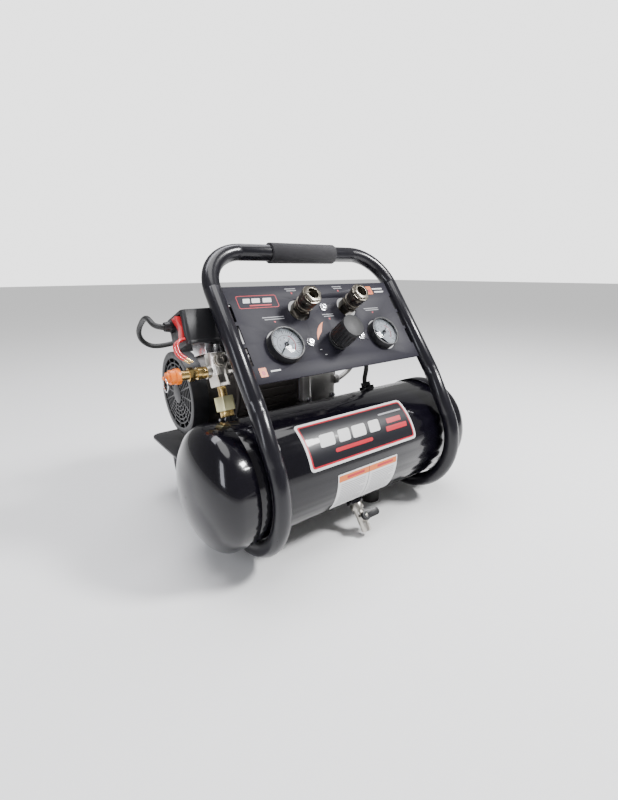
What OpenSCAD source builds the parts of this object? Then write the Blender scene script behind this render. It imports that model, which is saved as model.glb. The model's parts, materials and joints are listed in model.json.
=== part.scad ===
// Small twin-cylinder oil-free air compressor on a horizontal ("hot dog") air tank.
// X runs along the tank to the right, Y to the rear, Z up. The origin is on the floor,
// at the middle of the outer box. Lengths are in millimetres and angles in degrees.

/* [Frame] */
// Distance between the centre lines of the two legs
leg_spacing = 285; // [275:1:345]
// Outside diameter of the frame tube
tube_d = 20; // [15:0.5:23]
// Wall of the frame tube
tube_wall = 1.8; // [1.2:0.1:2.5]
// Lean of the upper legs behind vertical
leg_lean = 37; // [34:0.5:39]
// Lean of the lower legs behind vertical
shin_lean = 30.5; // [26:0.5:33]
// Height of the handle's centre line above the tank axis
handle_rise = 254.5; // [240:0.5:306]
// Height of the knee above the tank axis
knee_rise = 97; // [85:0.5:108]
// Centre-line radius of the knees
knee_r = 112; // [60:1:130]
// Centre-line radius of the handle's corners
corner_r = 53; // [40:1:60]
// Clearance between the loops and the floor
loop_clear = 4.8; // [3:0.2:8]
// Centre-line radius of the bend behind each skid
skid_bend_r = 38; // [30:1:45]
// Length of the foam grip
grip_len = 103; // [80:1:140]
// Outside diameter of the foam grip
grip_d = 25.5; // [25:0.5:30]
// Sideways place of the grip's middle
grip_shift = 4; // [-10:1:10]

/* [Tank] */
// Outside diameter of the tank shell
tank_d = 142; // [130:1:172]
// Distance between the edges of the two end caps
seam_spacing = 321; // [310:1:386]
// Wall of the tank shell and caps
tank_wall = 2; // [1.5:0.1:2.5]
// Straight length of each end cap
cap_skirt = 18; // [12:0.5:24]
// Depth of each cap's elliptical dome
cap_dome = 34; // [26:0.5:38]
// Gap between the tank and the loops that carry it
loop_gap = 1.5; // [1:0.1:3]
// Diameter of the rubber foot under the tank
foot_d = 28; // [22:1:34]
// Sideways place of the rubber foot under the tank
foot_x = 68; // [55:1:80]

/* [Platform] */
// Half width of the motor platform
deck_half = 177; // [170:1:200]
// Height of the platform's top below the tank axis
deck_drop = 6.5; // [4:0.5:12]
// Distance of the platform's rear edge behind the tank axis
deck_rear = 227.5; // [222:0.5:250]
// Thickness of the platform plate
deck_t = 3; // [2:0.5:5]
// Corner radius of the platform plate
deck_corner = 14; // [8:1:20]

/* [Control panel] */
// Height of the panel along its slope
panel_h = 123.5; // [120:0.5:128]
// Distance from the handle's centre line to the panel's top edge
panel_top = 49.5; // [44:0.5:54]
// Thickness of the panel sheet
panel_t = 2; // [1.5:0.1:3]
// Distance of each gauge from the panel's middle
gauge_u = 80; // [76:1:90]
// Distance of the gauges below the handle's centre line
gauge_v = 132; // [130:0.5:140]
// Outside diameter of the gauges
gauge_d = 43; // [40:0.5:50]
// Distance of each quick coupler from the panel's middle
coupler_u = 39; // [36:0.5:44]
// Distance of the couplers below the handle's centre line
coupler_v = 86; // [82:0.5:89]
// Height of the couplers in front of the panel
coupler_h = 36; // [32:0.5:44]
// Outside diameter of the couplers' sliding sleeves
sleeve_d = 23; // [21:0.5:27]
// Travel of the couplers' sleeves
sleeve_travel = 5; // [3:0.5:6]
// Distance of the regulator knob below the handle's centre line
knob_v = 133; // [128:0.5:138]
// Diameter of the regulator knob
knob_d = 29; // [25:0.5:34]
// Height of the regulator knob in front of the panel
knob_h = 36; // [28:0.5:44]

/* [Pressure switch and manifold] */
// Distance of the riser from the middle of the tank
riser_x = 144.5; // [136:0.5:152]
// Tilt of the riser behind vertical
riser_tilt = 20; // [16:0.5:24]
// Width of the pressure switch box
box_w = 66; // [60:1:72]
// Depth of the pressure switch box
box_d = 50; // [44:1:56]
// Height of the pressure switch box
box_h = 38; // [38:1:50]
// Height of the switch box above the tank
box_s = 90; // [88:0.5:96]
// Distance of the safety valve's branch above the tank
branch_s = 59; // [56:0.5:62]

/* [Pump and motor] */
// Distance of the crankshaft behind the tank axis
shaft_y = 166.5; // [160:0.5:200]
// Height of the crankshaft above the tank axis
shaft_rise = 68.5; // [66:0.5:82]
// Sideways place of the pump's middle
pump_x = -31; // [-35:1:-25]
// Distance between the middles of the two crankcases
case_spacing = 148; // [146:1:180]
// Outside diameter of the motor shell
motor_d = 112; // [98:1:114]
// Outside diameter of the fan covers
cover_d = 117; // [114:1:124]
// Diameter of the cylinder bores
bore_d = 36; // [30:0.5:40]
// Stroke of the pistons
stroke = 10; // [6:0.5:12]
// Distance from the crankshaft to the outer face of each cylinder head
head_reach = 80; // [76:1:96]
// Diameter of the crankshaft
shaft_d = 15; // [12:0.5:17]

/* [Drain valve] */
// Angle of the drain valve below the horizontal
drain_angle = 52; // [48:1:56]
// Length of the drain valve from the tank's skin
drain_len = 42; // [36:1:46]
// Length of the drain valve's lever
lever_len = 22; // [16:1:26]

/* [Hidden] */
$fn = 64;

// Clearances shared by the pieces that fit one another.
run_gap = 0.05;         // radial clearance of a turning or sliding fit
seat_gap = 0.1;         // gap between still pieces that seat in one another
air_gap = 0.5;          // gap between moving pieces that never touch
eps = 0.01;             // lap of one solid over the next inside one node
tube_lap = 0.6;         // lap of a straight tube over a bend
tube_step = 0.1;       // extra radius of a straight tube over a bend

// The frame and the tank.
tube_r = tube_d / 2;
tank_r = tank_d / 2;
loop_r = tank_r + loop_gap + tube_r;
tank_z = loop_clear + tube_r + loop_r;
cap_r = tank_r + tank_wall;
leg_x = leg_spacing / 2;
knee_y = -loop_r * cos(shin_lean) + (knee_rise - loop_r * sin(shin_lean)) * tan(shin_lean);
handle_y = knee_y + (handle_rise - knee_rise) * tan(leg_lean);
leg_slope = (handle_rise - knee_rise) / cos(leg_lean);
knee_cut = knee_r * tan((leg_lean - shin_lean) / 2);
deck_z = tank_z - deck_drop;
skid_y = deck_rear - tube_d - skid_bend_r;
tank_end = seam_spacing / 2 + cap_skirt + cap_dome;

// The pump and the motor.
shaft_z = tank_z + shaft_rise;
case_half = 24;
case_r = 50;
case_wall = 6;
motor_half = case_spacing / 2 - case_half;
cover_half = case_spacing / 2 + case_half + 23;
cover_depth = 22;
cover_wall = 2.5;
shaft_r = shaft_d / 2;
bearing_r = shaft_r + 10;
bearing_w = 11;
throw_r = stroke / 2;
eccentric_r = shaft_r + throw_r + 3;
plate_t = 4;
head_t = 14;
bore_r = bore_d / 2;
liner_r = bore_r + 3;
liner_low = 34;
liner_top = head_reach - head_t - plate_t;
crown_t = 8;
crown_mid = liner_top - throw_r - crown_t / 2 - 1;
head_w = 2 * liner_r + 18;
bolt_place = head_w / 2 - 7;
rear_reach = shaft_y + head_reach + 1.1;

// The middle of the outer box, which the origin is under.
front_reach = loop_r + tube_r;
box_mid = (rear_reach - front_reach) / 2;

// Places on the control panel, measured down its slope from the handle.
panel_half = leg_x - tube_r - seat_gap;
panel_front = panel_t / 2;
slot_top = panel_top + 23;
slot_end = panel_top + panel_h - 22;
slot_w = 5;
slot_tab = 5;
slot_count = 3;
gauge_r = gauge_d / 2;
screw_v = 84;
screw_side_u = 42;
screw_side_v = 131;

// Places on the riser, measured from the tank's skin.
stub_s = 11;
union_s = 28;
block_low_s = 40;
block_mid_s = 53;
block_top_s = 78;
plug_s = 69;
block_half = 12;
valve_thread_x = 30;
valve_hex_x = 46;
valve_cap_x = 65;
box_left = -box_w / 2 - 3;
box_front = -box_d / 2 + 6;
rocker_s = box_s + 20;
gland_s = box_s + box_h - 10;
gland_b = box_front + box_d / 2 + 9;
mains_x = box_left + box_w - 9;

// Everything stands in the tank's own frame, and this puts it over the origin.
module place() {
    translate([0, -box_mid, 0]) children();
}

// X across, Y up the slope and Z out of the panel's face, from the middle of the handle.
module on_panel() {
    place() translate([0, handle_y, tank_z + handle_rise]) rotate([90 - leg_lean, 0, 0]) children();
}

// X across, Y to the rear and Z up the riser, from the tank's skin.
module on_riser() {
    place() translate([-riser_x, 0, tank_z]) rotate([-riser_tilt, 0, 0]) translate([0, 0, tank_r]) children();
}

// Z out of the tank along the drain valve, from the tank's skin.
module on_drain() {
    place() translate([-5, 0, tank_z]) rotate([90 + drain_angle, 0, 0]) translate([0, 0, tank_r]) children();
}

// X along the crankshaft, from the middle of the pump.
module on_shaft() {
    place() translate([pump_x, shaft_y, shaft_z]) children();
}

// Z from the crankshaft out along one cylinder: side 1 is the right one, which points forward.
module on_cylinder(side) {
    on_shaft() translate([side * case_spacing / 2, 0, 0]) rotate([side * 90, 0, 0]) children();
}

module both_sides() {
    for (side = [-1, 1]) {
        scale_side(side) children();
    }
}

module scale_side(side) {
    if (side < 0) {
        mirror([1, 0, 0]) children();
    } else {
        children();
    }
}

module ring(outer, inner, h) {
    difference() {
        cylinder(r = outer, h = h);
        translate([0, 0, -1]) cylinder(r = inner, h = h + 2);
    }
}

// A ring along X, from x0 to x1.
module x_ring(outer, inner, x0, x1) {
    translate([x0, 0, 0]) rotate([0, 90, 0]) ring(outer, inner, x1 - x0);
}

module x_rod(r, x0, x1) {
    translate([x0, 0, 0]) rotate([0, 90, 0]) cylinder(r = r, h = x1 - x0);
}

module hex(flats, h) {
    cylinder(r = flats / 2 / cos(30), h = h, $fn = 6);
}

module round_rect(w, h, r) {
    union() {
        square([w - 2 * r, h], center = true);
        square([w, h - 2 * r], center = true);
        for (x = [-1, 1], y = [-1, 1]) {
            translate([x * (w / 2 - r), y * (h / 2 - r)]) circle(r = r);
        }
    }
}

// One straight stretch of the frame tube, r being its outside or its bore. It is slightly wider
// than the bends and laps into them.
module tube_run(length, r) {
    translate([0, 0, -tube_lap]) cylinder(r = r + tube_step, h = length + 2 * tube_lap);
}

// A bend in the side plane about the point y, z, from angle a to angle b.
module side_bend(y, z, bend_r, a, b, r) {
    translate([0, y, z]) rotate([90, 0, 90]) rotate([0, 0, a]) {
        rotate_extrude(angle = b - a) translate([bend_r, 0]) circle(r = r);
    }
}

module frame_leg(r) {
    leg_top = tank_z + handle_rise;
    knee_a_y = knee_y - knee_cut * sin(shin_lean);
    knee_a_z = tank_z + knee_rise - knee_cut * cos(shin_lean);
    shin_len = (knee_a_z - tank_z - loop_r * sin(shin_lean)) / cos(shin_lean);
    skid_z = tank_z - loop_r;
    translate([leg_x, handle_y, leg_top]) rotate([90 - leg_lean, 0, 0]) {
        translate([0, -corner_r, 0]) rotate([90, 0, 0]) tube_run(leg_slope - corner_r - knee_cut, r);
        translate([-corner_r, -corner_r, 0]) rotate_extrude(angle = 90) translate([corner_r, 0]) circle(r = r);
    }
    translate([leg_x, 0, 0]) {
        side_bend(knee_a_y + knee_r * cos(shin_lean), knee_a_z - knee_r * sin(shin_lean),
            knee_r, 180 - leg_lean, 180 - shin_lean, r);
        translate([0, knee_a_y, knee_a_z]) rotate([180 - shin_lean, 0, 0]) tube_run(shin_len, r);
        side_bend(0, tank_z, loop_r, 180 - shin_lean, 270, r);
        translate([0, 0, skid_z]) rotate([-90, 0, 0]) tube_run(skid_y, r);
        side_bend(skid_y, skid_z + skid_bend_r, skid_bend_r, 270, 360, r);
        translate([0, skid_y + skid_bend_r, skid_z + skid_bend_r]) {
            tube_run(deck_z - deck_t - seat_gap - tube_lap - skid_z - skid_bend_r, r);
        }
    }
}

module frame_path(r) {
    both_sides() frame_leg(r);
    translate([-leg_x + corner_r, handle_y, tank_z + handle_rise]) rotate([0, 90, 0]) {
        tube_run(2 * (leg_x - corner_r), r);
    }
}

// One bent tube: skids, loops round the tank, legs and handle.
module frame_tube() {
    color("#1b1b1e") place() difference() {
        frame_path(tube_r);
        frame_path(tube_r - tube_wall);
    }
}

module handle_grip() {
    color("#141416") on_panel() translate([grip_shift - grip_len / 2, 0, 0]) {
        x_ring(grip_d / 2, tube_r + seat_gap, 0, grip_len);
    }
}

// The tank's shell, with a hole for each bung.
module tank_shell() {
    color("#0d0d10") difference() {
        place() translate([0, 0, tank_z]) {
            x_ring(tank_r, tank_r - tank_wall, -seam_spacing / 2 - cap_skirt + 8, seam_spacing / 2 + cap_skirt - 8);
        }
        on_riser() translate([0, 0, -6]) cylinder(r = bung_r + seat_gap, h = 12);
        on_drain() translate([0, 0, -6]) cylinder(r = bung_r + seat_gap, h = 12);
        on_hose_bung() translate([0, 0, -6]) cylinder(r = bung_r + seat_gap, h = 12);
    }
}

bung_r = 11;
hose_bung_x = 84;
hose_bung_tilt = 24;

module on_hose_bung() {
    place() translate([hose_bung_x, 0, tank_z]) rotate([-hose_bung_tilt, 0, 0]) translate([0, 0, tank_r]) children();
}

// The quarter ellipse of a cap's outside, or of its inside when inset is the wall.
function dome(inset) = [for (i = [0:dome_steps]) let (a = 90 * i / dome_steps)
    [(cap_r - inset) * cos(a), (cap_dome - inset) * sin(a)]];
dome_steps = 24;

// An end cap: a skirt that slips over the shell, and an elliptical dome.
module tank_cap() {
    rotate([0, 90, 0]) {
        rotate_extrude() difference() {
            union() {
                square([cap_r, cap_skirt]);
                translate([0, cap_skirt - eps]) polygon(concat([[0, 0]], dome(0)));
            }
            translate([-1, -1]) square([tank_r + seat_gap + 1, cap_skirt + 1 - 8 + seat_gap]);
            square([tank_r - tank_wall, cap_skirt]);
            translate([0, cap_skirt - 2 * eps]) polygon(concat([[0, 0]], dome(tank_wall)));
        }
    }
}

module tank_cap_right() {
    color("#0d0d10") place() translate([seam_spacing / 2, 0, tank_z]) tank_cap();
}

module tank_cap_left() {
    color("#0d0d10") place() mirror([1, 0, 0]) translate([seam_spacing / 2, 0, tank_z]) tank_cap();
}

// The welded bungs: threaded collars for the riser, the drain valve and the supply hose.
module tank_bungs() {
    color("#17171a") {
        on_riser() translate([0, 0, -4]) ring(bung_r, thread_r + seat_gap, 8);
        on_drain() translate([0, 0, -4]) ring(bung_r, thread_r + seat_gap, 8);
        on_hose_bung() translate([0, 0, -4]) ring(bung_r, thread_r + seat_gap, 8);
    }
}

thread_r = 6.5;

// A cup-shaped rubber foot that the tank stands on.
module tank_foot() {
    foot_top = tank_z - tank_r - seat_gap;
    color("#161616") place() translate([foot_x, 0, 0]) difference() {
        union() {
            cylinder(r = foot_d / 2, h = foot_top - 6);
            cylinder(r = foot_d / 2 - 4, h = foot_top + 1);
        }
        translate([0, 0, tank_z]) x_rod(tank_r + seat_gap, -foot_d, foot_d);
    }
}

// The plate that carries the pump, welded to the tank's rear and to the skids' ends.
module platform() {
    deck_front = sqrt(tank_r * tank_r - deck_drop * deck_drop) + seat_gap;
    color("#232428") place() difference() {
        union() {
            translate([0, (deck_front - 12 + deck_rear) / 2, deck_z - deck_t]) linear_extrude(height = deck_t) {
                round_rect(2 * deck_half, deck_rear - deck_front + 12, deck_corner);
            }
            for (x = [-1, 1]) {
                translate([x * web_x - 2, deck_front - 12, deck_z - deck_t - 22]) cube([4, 70, 22 + eps]);
            }
        }
        translate([0, 0, tank_z]) x_rod(tank_r + seat_gap, -tank_end, tank_end);
        both_sides() translate([seam_spacing / 2 - 1, 0, tank_z]) x_rod(cap_r + seat_gap, 0, tank_end);
        for (x = mount_xs, y = [-mount_y, mount_y]) {
            translate([x, shaft_y + y, deck_z - deck_t - 1]) cylinder(r = stud_r + seat_gap, h = deck_t + 2);
        }
    }
}

mount_y = 44;
web_x = leg_x - 65;
mount_xs = [pump_x - case_spacing / 2, pump_x + case_spacing / 2];
mount_r = 11;
stud_r = 3;
case_foot_t = 5;
mount_h = shaft_rise + deck_drop - motor_d / 2 - case_foot_t;

// Rubber feet under the two skids, moulded round the tube.
module rear_feet() {
    color("#161616") place() both_sides() translate([leg_x, skid_y - 16, 0]) difference() {
        union() {
            cylinder(r = 15, h = loop_clear + 4);
            translate([-13, -14, 0]) cube([26, 28, loop_clear + tube_r]);
        }
        translate([0, -20, tank_z - loop_r]) rotate([-90, 0, 0]) cylinder(r = tube_r + seat_gap, h = 40);
    }
}

// Four rubber isolators with a steel stud through the platform.
module motor_mounts() {
    color("#1c1c1c") place() {
        for (x = mount_xs, y = [-mount_y, mount_y]) {
            translate([x, shaft_y + y, deck_z]) {
                cylinder(r = mount_r, h = mount_h - seat_gap);
                translate([0, 0, -deck_t - 7]) cylinder(r = stud_r, h = deck_t + 8);
                translate([0, 0, -deck_t - 5 - seat_gap]) hex(10, 5);
            }
        }
    }
}

// The sheet between the legs, with its holes and its welded side tabs.
module control_panel() {
    slot_h = (slot_end - slot_top - slot_tab * (slot_count - 1)) / slot_count;
    color("#3c3d41") on_panel() translate([0, 0, -panel_t / 2]) linear_extrude(height = panel_t) difference() {
        translate([0, -panel_top - panel_h / 2]) square([2 * panel_half, panel_h], center = true);
        for (side = [-1, 1]) {
            translate([side * gauge_u, -gauge_v]) circle(r = gauge_r + 1.6);
            translate([side * coupler_u, -coupler_v]) circle(r = 15);
            for (i = [0:slot_count - 1]) {
                translate([side * (panel_half + 1) - slot_w, -slot_top - slot_h - i * (slot_h + slot_tab)]) {
                    square([2 * slot_w, slot_h]);
                }
            }
        }
        translate([0, -knob_v]) circle(r = neck_r + seat_gap);
        for (p = screw_points) {
            translate(p) circle(r = screw_r + seat_gap);
        }
    }
}

neck_r = 11;
screw_r = 2.5;
screw_points = [[0, -screw_v], [-screw_side_u, -screw_side_v], [screw_side_u, -screw_side_v]];

// Three button-head screws that hold the outlet manifold to the panel.
module panel_screws() {
    color("#d0d0d0") on_panel() for (p = screw_points) {
        translate([p[0], p[1], panel_front + seat_gap]) {
            difference() {
                union() {
                    cylinder(r = 5.5, h = 0.8);
                    translate([0, 0, 0.8 - eps]) cylinder(r1 = 5, r2 = 3.4, h = 2.6);
                }
                translate([0, 0, 1.6]) hex(3, 3);
            }
            translate([0, 0, -panel_t - 8]) cylinder(r = screw_r, h = panel_t + 8 + eps);
        }
    }
}

// A gauge's parts. Its front stands in front of the panel, and its stem goes to the manifold.
gauge_front = 9;
gauge_back = 17;
dial_z = 4;
dial_r = gauge_r - 2.6;
lens_z = 6.6;
pin_r = 1;

module on_gauge(side) {
    on_panel() translate([side * gauge_u, -gauge_v, panel_front]) children();
}

module gauge_case(side) {
    color("#101012") on_gauge(side) {
        difference() {
            union() {
                translate([0, 0, -gauge_back]) cylinder(r = gauge_r, h = gauge_back + gauge_front);
                translate([0, 0, -gauge_back - 9]) cylinder(r = 5, h = 10);
            }
            translate([0, 0, dial_z - 1]) cylinder(r = gauge_r - 1.8, h = gauge_front);
            translate([0, 0, -gauge_back + 3]) cylinder(r = gauge_r - 2.5, h = gauge_back + dial_z);
        }
    }
}

module gauge_dial(side) {
    color("#f4f4f4") on_gauge(side) translate([0, 0, dial_z - 1]) {
        ring(gauge_r - 1.8 - seat_gap, pin_r + run_gap, 1);
        translate([0, 0, -4]) ring(4, pin_r + run_gap, 4 + eps);
    }
}

// The needle turns on its own pin, in a bush behind the dial.
module gauge_needle(side) {
    color("#202020") on_gauge(side) translate([0, 0, dial_z]) {
        translate([0, 0, -6]) cylinder(r = pin_r, h = 7);
        translate([0, 0, 0.6]) cylinder(r = 2.6, h = 1);
        rotate([0, 0, 135]) translate([-0.6, -6, 0.7]) cube([1.2, gauge_r + 0.5, 0.6]);
    }
}

module gauge_lens(side) {
    color("#e8f0f4", 0.3) on_gauge(side) translate([0, 0, lens_z]) cylinder(r = gauge_r - 1.8 - seat_gap, h = 1.4);
}

module gauge_left_case() {
    gauge_case(-1);
}

module gauge_left_dial() {
    gauge_dial(-1);
}

module gauge_left_needle() {
    gauge_needle(-1);
}

module gauge_left_lens() {
    gauge_lens(-1);
}

module gauge_right_case() {
    gauge_case(1);
}

module gauge_right_dial() {
    gauge_dial(1);
}

module gauge_right_needle() {
    gauge_needle(1);
}

module gauge_right_lens() {
    gauge_lens(1);
}

// The regulator behind the panel, with its neck through it and its spindle in the knob.
spindle_r = 5;
body_h = 30;

module on_regulator() {
    on_panel() translate([0, -knob_v, panel_front]) children();
}

module regulator_body() {
    color("#8d8f93") on_regulator() {
        translate([0, 0, -panel_t - body_h]) cylinder(r = 16, h = body_h - seat_gap);
        translate([0, 0, -panel_t - 1]) cylinder(r = neck_r, h = panel_t + 7);
        cylinder(r = spindle_r, h = knob_h - 10);
    }
}

module regulator_nut() {
    color("#1a1a1c") on_regulator() translate([0, 0, seat_gap]) ring(neck_r + 3, neck_r + seat_gap, 3.4);
}

// The knob: a long fluted cap that turns on the regulator's spindle.
module regulator_knob() {
    flutes = 18;
    color("#161618") on_regulator() translate([0, 0, 7]) difference() {
        cylinder(r = knob_d / 2, h = knob_h - 7);
        translate([0, 0, -1]) cylinder(r = spindle_r + run_gap, h = knob_h - 14);
        for (i = [0:flutes - 1]) {
            rotate([0, 0, i * 360 / flutes]) translate([knob_d / 2 + 0.5, 0, 3]) cylinder(r = 1.1, h = knob_h - 16);
        }
    }
}

// The bar behind the panel that joins the regulator, the couplers and the gauges.
module outlet_manifold() {
    bar_z = -panel_t - body_h / 2;
    color("#7f8186") on_panel() translate([0, 0, panel_front]) difference() {
        union() {
            translate([0, -coupler_v, bar_z]) x_rod(9, -coupler_u - 12, coupler_u + 12);
            translate([-8, -knob_v + 16 + seat_gap, bar_z - 8]) cube([16, knob_v - coupler_v - 16 - seat_gap, 16]);
            translate([-screw_side_u - 7, -screw_side_v - 6, -panel_t - 8]) {
                cube([screw_side_u - 16 - 2 + 7, 12, 6]);
            }
            mirror([1, 0, 0]) translate([-screw_side_u - 7, -screw_side_v - 6, -panel_t - 8]) {
                cube([screw_side_u - 16 - 2 + 7, 12, 6]);
            }
            translate([-8, -screw_v - 6, bar_z + 4]) cube([16, 12, body_h / 2 - 4 - seat_gap]);
        }
        for (p = screw_points) {
            translate([p[0], p[1], -panel_t - 9]) cylinder(r = screw_r + seat_gap, h = 10);
        }
        for (side = [-1, 1]) {
            translate([side * coupler_u, -coupler_v, bar_z]) cylinder(r = 6 + seat_gap, h = 20);
        }
    }
}

// A quick coupler: a body on the manifold, a hexagonal nose, and a sleeve that slides back.
plug_bore_r = 5;
mouth_r = 7;
nose_r = 8;
nose_h = 7;

module on_coupler(side) {
    on_panel() translate([side * coupler_u, -coupler_v, panel_front]) children();
}

module coupler_body(side) {
    color("#b9babd") on_coupler(side) difference() {
        union() {
            translate([0, 0, -panel_t - body_h / 2 + 1]) cylinder(r = 6, h = panel_t + body_h / 2);
            translate([0, 0, -5]) hex(20, 12);
            cylinder(r = nose_r, h = coupler_h);
            translate([0, 0, coupler_h - nose_h]) cylinder(r = sleeve_d / 2 + 1, h = nose_h / 2);
            translate([0, 0, coupler_h - nose_h / 2 - eps]) hex(sleeve_d - 4, nose_h / 2);
        }
        translate([0, 0, coupler_h - 22]) cylinder(r = plug_bore_r, h = 23);
        translate([0, 0, coupler_h - 5]) cylinder(r = mouth_r, h = 6);
    }
}

module coupler_sleeve(side) {
    sleeve_low = 7 + sleeve_travel + air_gap;
    sleeve_high = coupler_h - nose_h - air_gap;
    color("#55524c") on_coupler(side) difference() {
        union() {
            translate([0, 0, sleeve_low]) cylinder(r = sleeve_d / 2 - 1, h = sleeve_high - sleeve_low);
            translate([0, 0, sleeve_high - 8]) cylinder(r = sleeve_d / 2, h = 8);
            translate([0, 0, sleeve_low]) cylinder(r = sleeve_d / 2, h = 2.5);
        }
        translate([0, 0, 0]) cylinder(r = nose_r + run_gap, h = coupler_h);
    }
}

module coupler_left_body() {
    coupler_body(-1);
}

module coupler_left_sleeve() {
    coupler_sleeve(-1);
}

module coupler_right_body() {
    coupler_body(1);
}

module coupler_right_sleeve() {
    coupler_sleeve(1);
}

// A round tube swept along a smooth curve through route points.
function curve_point(p, i, t) = let (
    a = p[max(i - 1, 0)],
    b = p[i],
    c = p[i + 1],
    d = p[min(i + 2, len(p) - 1)]
) 0.5 * (2 * b + (c - a) * t + (2 * a - 5 * b + 4 * c - d) * t * t + (3 * b - a - 3 * c + d) * t * t * t);
function curve(p, n) = [for (i = [0:len(p) - 2], k = [0:n - 1]) curve_point(p, i, k / n), p[len(p) - 1]];
function unit(v) = v / norm(v);
function tangent(c, i) = unit(c[min(i + 1, len(c) - 1)] - c[max(i - 1, 0)]);
function carry(n, t) = unit(n - (n * t) * t);
function side_vectors(c, i, n) = i == len(c) ? [] :
    let (m = carry(n, tangent(c, i))) concat([m], side_vectors(c, i + 1, m));

module swept_tube(points, r, per_span, sides, first_side) {
    c = curve(points, per_span);
    m = side_vectors(c, 0, first_side);
    verts = [for (i = [0:len(c) - 1], k = [0:sides - 1]) let (a = 360 * k / sides)
        c[i] + r * (m[i] * cos(a) + cross(tangent(c, i), m[i]) * sin(a))];
    sides_faces = [for (i = [0:len(c) - 2], k = [0:sides - 1]) let (k2 = (k + 1) % sides)
        [i * sides + k, (i + 1) * sides + k, (i + 1) * sides + k2, i * sides + k2]];
    start = [[for (k = [0:sides - 1]) k]];
    end = [[for (k = [sides - 1:-1:0]) (len(c) - 1) * sides + k]];
    polyhedron(points = verts, faces = concat(sides_faces, start, end));
}

// The points where the hoses and the cable end, in the tank's own frame.
function riser_point(x, y, s) = [-riser_x + x,
    (tank_r + s) * sin(riser_tilt) + y * cos(riser_tilt),
    tank_z + (tank_r + s) * cos(riser_tilt) - y * sin(riser_tilt)];
function panel_point(u, v, n) = [u,
    handle_y - v * sin(leg_lean) - n * cos(leg_lean),
    tank_z + handle_rise - v * cos(leg_lean) + n * sin(leg_lean)];
function bung_point(s) = [hose_bung_x,
    (tank_r + s) * sin(hose_bung_tilt),
    tank_z + (tank_r + s) * cos(hose_bung_tilt)];

// Black air hose from the tank's bung to the bottom of the regulator.
supply_route = [bung_point(4.2), bung_point(14), [88, 36, 196], [82, 42, 222], [58, 34, 246],
    panel_point(32, knob_v, -15), panel_point(18, knob_v, -15)];

module supply_hose() {
    color("#1a1a1a") {
        place() swept_tube(supply_route, 3.4, 6, 12, [0, 1, 0]);
        on_hose_bung() translate([0, 0, 4.1]) cylinder(r = 7, h = 6);
        on_panel() translate([0, -knob_v, -15]) x_rod(5, 16 + seat_gap, 23);
    }
}

// Ribbed metal hose from the right cylinder head up behind the panel to the riser's block.
head_port = [pump_x + case_spacing / 2 + head_w / 2 + 0.2, shaft_y - head_reach + head_t / 2, shaft_z];
discharge_route = [head_port + [3, 0, 0], head_port + [14, 0, 1], [106, 92, 178], [112, 82, 200], [96, 70, 226],
    [50, 66, 240], [0, 66, 244], [-50, 66, 238], [-92, 62, 226], riser_point(38, 0, branch_s),
    riser_point(18, 0, branch_s)];

module discharge_line() {
    color("#a9a8a4") {
        place() swept_tube(discharge_route, 3.6, 6, 12, [0, 0, 1]);
        place() translate(head_port) rotate([0, 90, 0]) cylinder(r = 7, h = 8);
        on_riser() translate([0, 0, branch_s]) x_rod(6, block_half + 3 + seat_gap, block_half + 12);
    }
}

// The pressure switch: a base on the manifold block and a cover over it.
base_h = 4;

module switch_base() {
    color("#1d1d20") on_riser() difference() {
        translate([box_left + box_w / 2, box_front + box_d / 2, box_s]) linear_extrude(height = base_h) {
            round_rect(box_w, box_d, 5);
        }
        translate([mains_x, gland_b, box_s - 1]) cylinder(r = gland_r + seat_gap, h = base_h + 2);
    }
}

module switch_cover() {
    cover_wall_t = 2.5;
    color("#1d1d20") on_riser() translate([box_left + box_w / 2, box_front + box_d / 2, box_s + base_h + seat_gap]) {
        difference() {
            linear_extrude(height = box_h - base_h) round_rect(box_w, box_d, 5);
            translate([0, 0, -1]) linear_extrude(height = box_h - base_h - cover_wall_t + 1) {
                round_rect(box_w - 2 * cover_wall_t, box_d - 2 * cover_wall_t, 3);
            }
            translate([-box_w / 2 - 1, rocker_b - box_front - box_d / 2 - 8, rocker_s - box_s - base_h - 14.5]) {
                cube([cover_wall_t + 2, 16, 29]);
            }
            translate([-box_w / 2 - 1, gland_b - box_front - box_d / 2, gland_s - box_s - base_h]) rotate([0, 90, 0]) {
                cylinder(r = gland_r + seat_gap, h = cover_wall_t + 2);
            }
        }
    }
}

gland_r = 5;
rocker_pivot_x = box_left + 4;
rocker_b = box_front + box_d / 2 - 12;

// A red rocker in the cover's left face, which turns about a line to the rear.
module power_rocker() {
    color("#d01f1f") on_riser() translate([rocker_pivot_x, rocker_b, rocker_s]) rotate([90, 0, 0]) {
        translate([0, 0, -6.5]) linear_extrude(height = 13) {
            polygon([[2, -12], [-6, -12.5], [-4.5, 0], [-9.5, 12.5], [2, 12]]);
        }
        translate([0, 0, -7.5]) cylinder(r = 1.5, h = 15);
    }
}

// Cable glands: one in the cover for the motor's cable, one on the crankcase, one for the mains.
module gland() {
    difference() {
        union() {
            translate([0, 0, -3]) cylinder(r = gland_r, h = 4);
            hex(13, 4);
            translate([0, 0, 4 - eps]) cylinder(r1 = 6.2, r2 = 5.2, h = 6);
        }
        translate([0, 0, 2]) cylinder(r = cable_r + 0.8, h = 12);
    }
}

cable_r = 3.2;
motor_gland_at = [pump_x - case_spacing / 2, shaft_y, shaft_z + case_r + seat_gap];

module cable_glands() {
    color("#1a1a1c") {
        on_riser() translate([box_left - seat_gap, gland_b, gland_s]) rotate([0, -90, 0]) gland();
        place() translate(motor_gland_at) gland();
        on_riser() translate([mains_x, gland_b, box_s - seat_gap]) {
            rotate([180, 0, 0]) gland();
        }
    }
}

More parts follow.
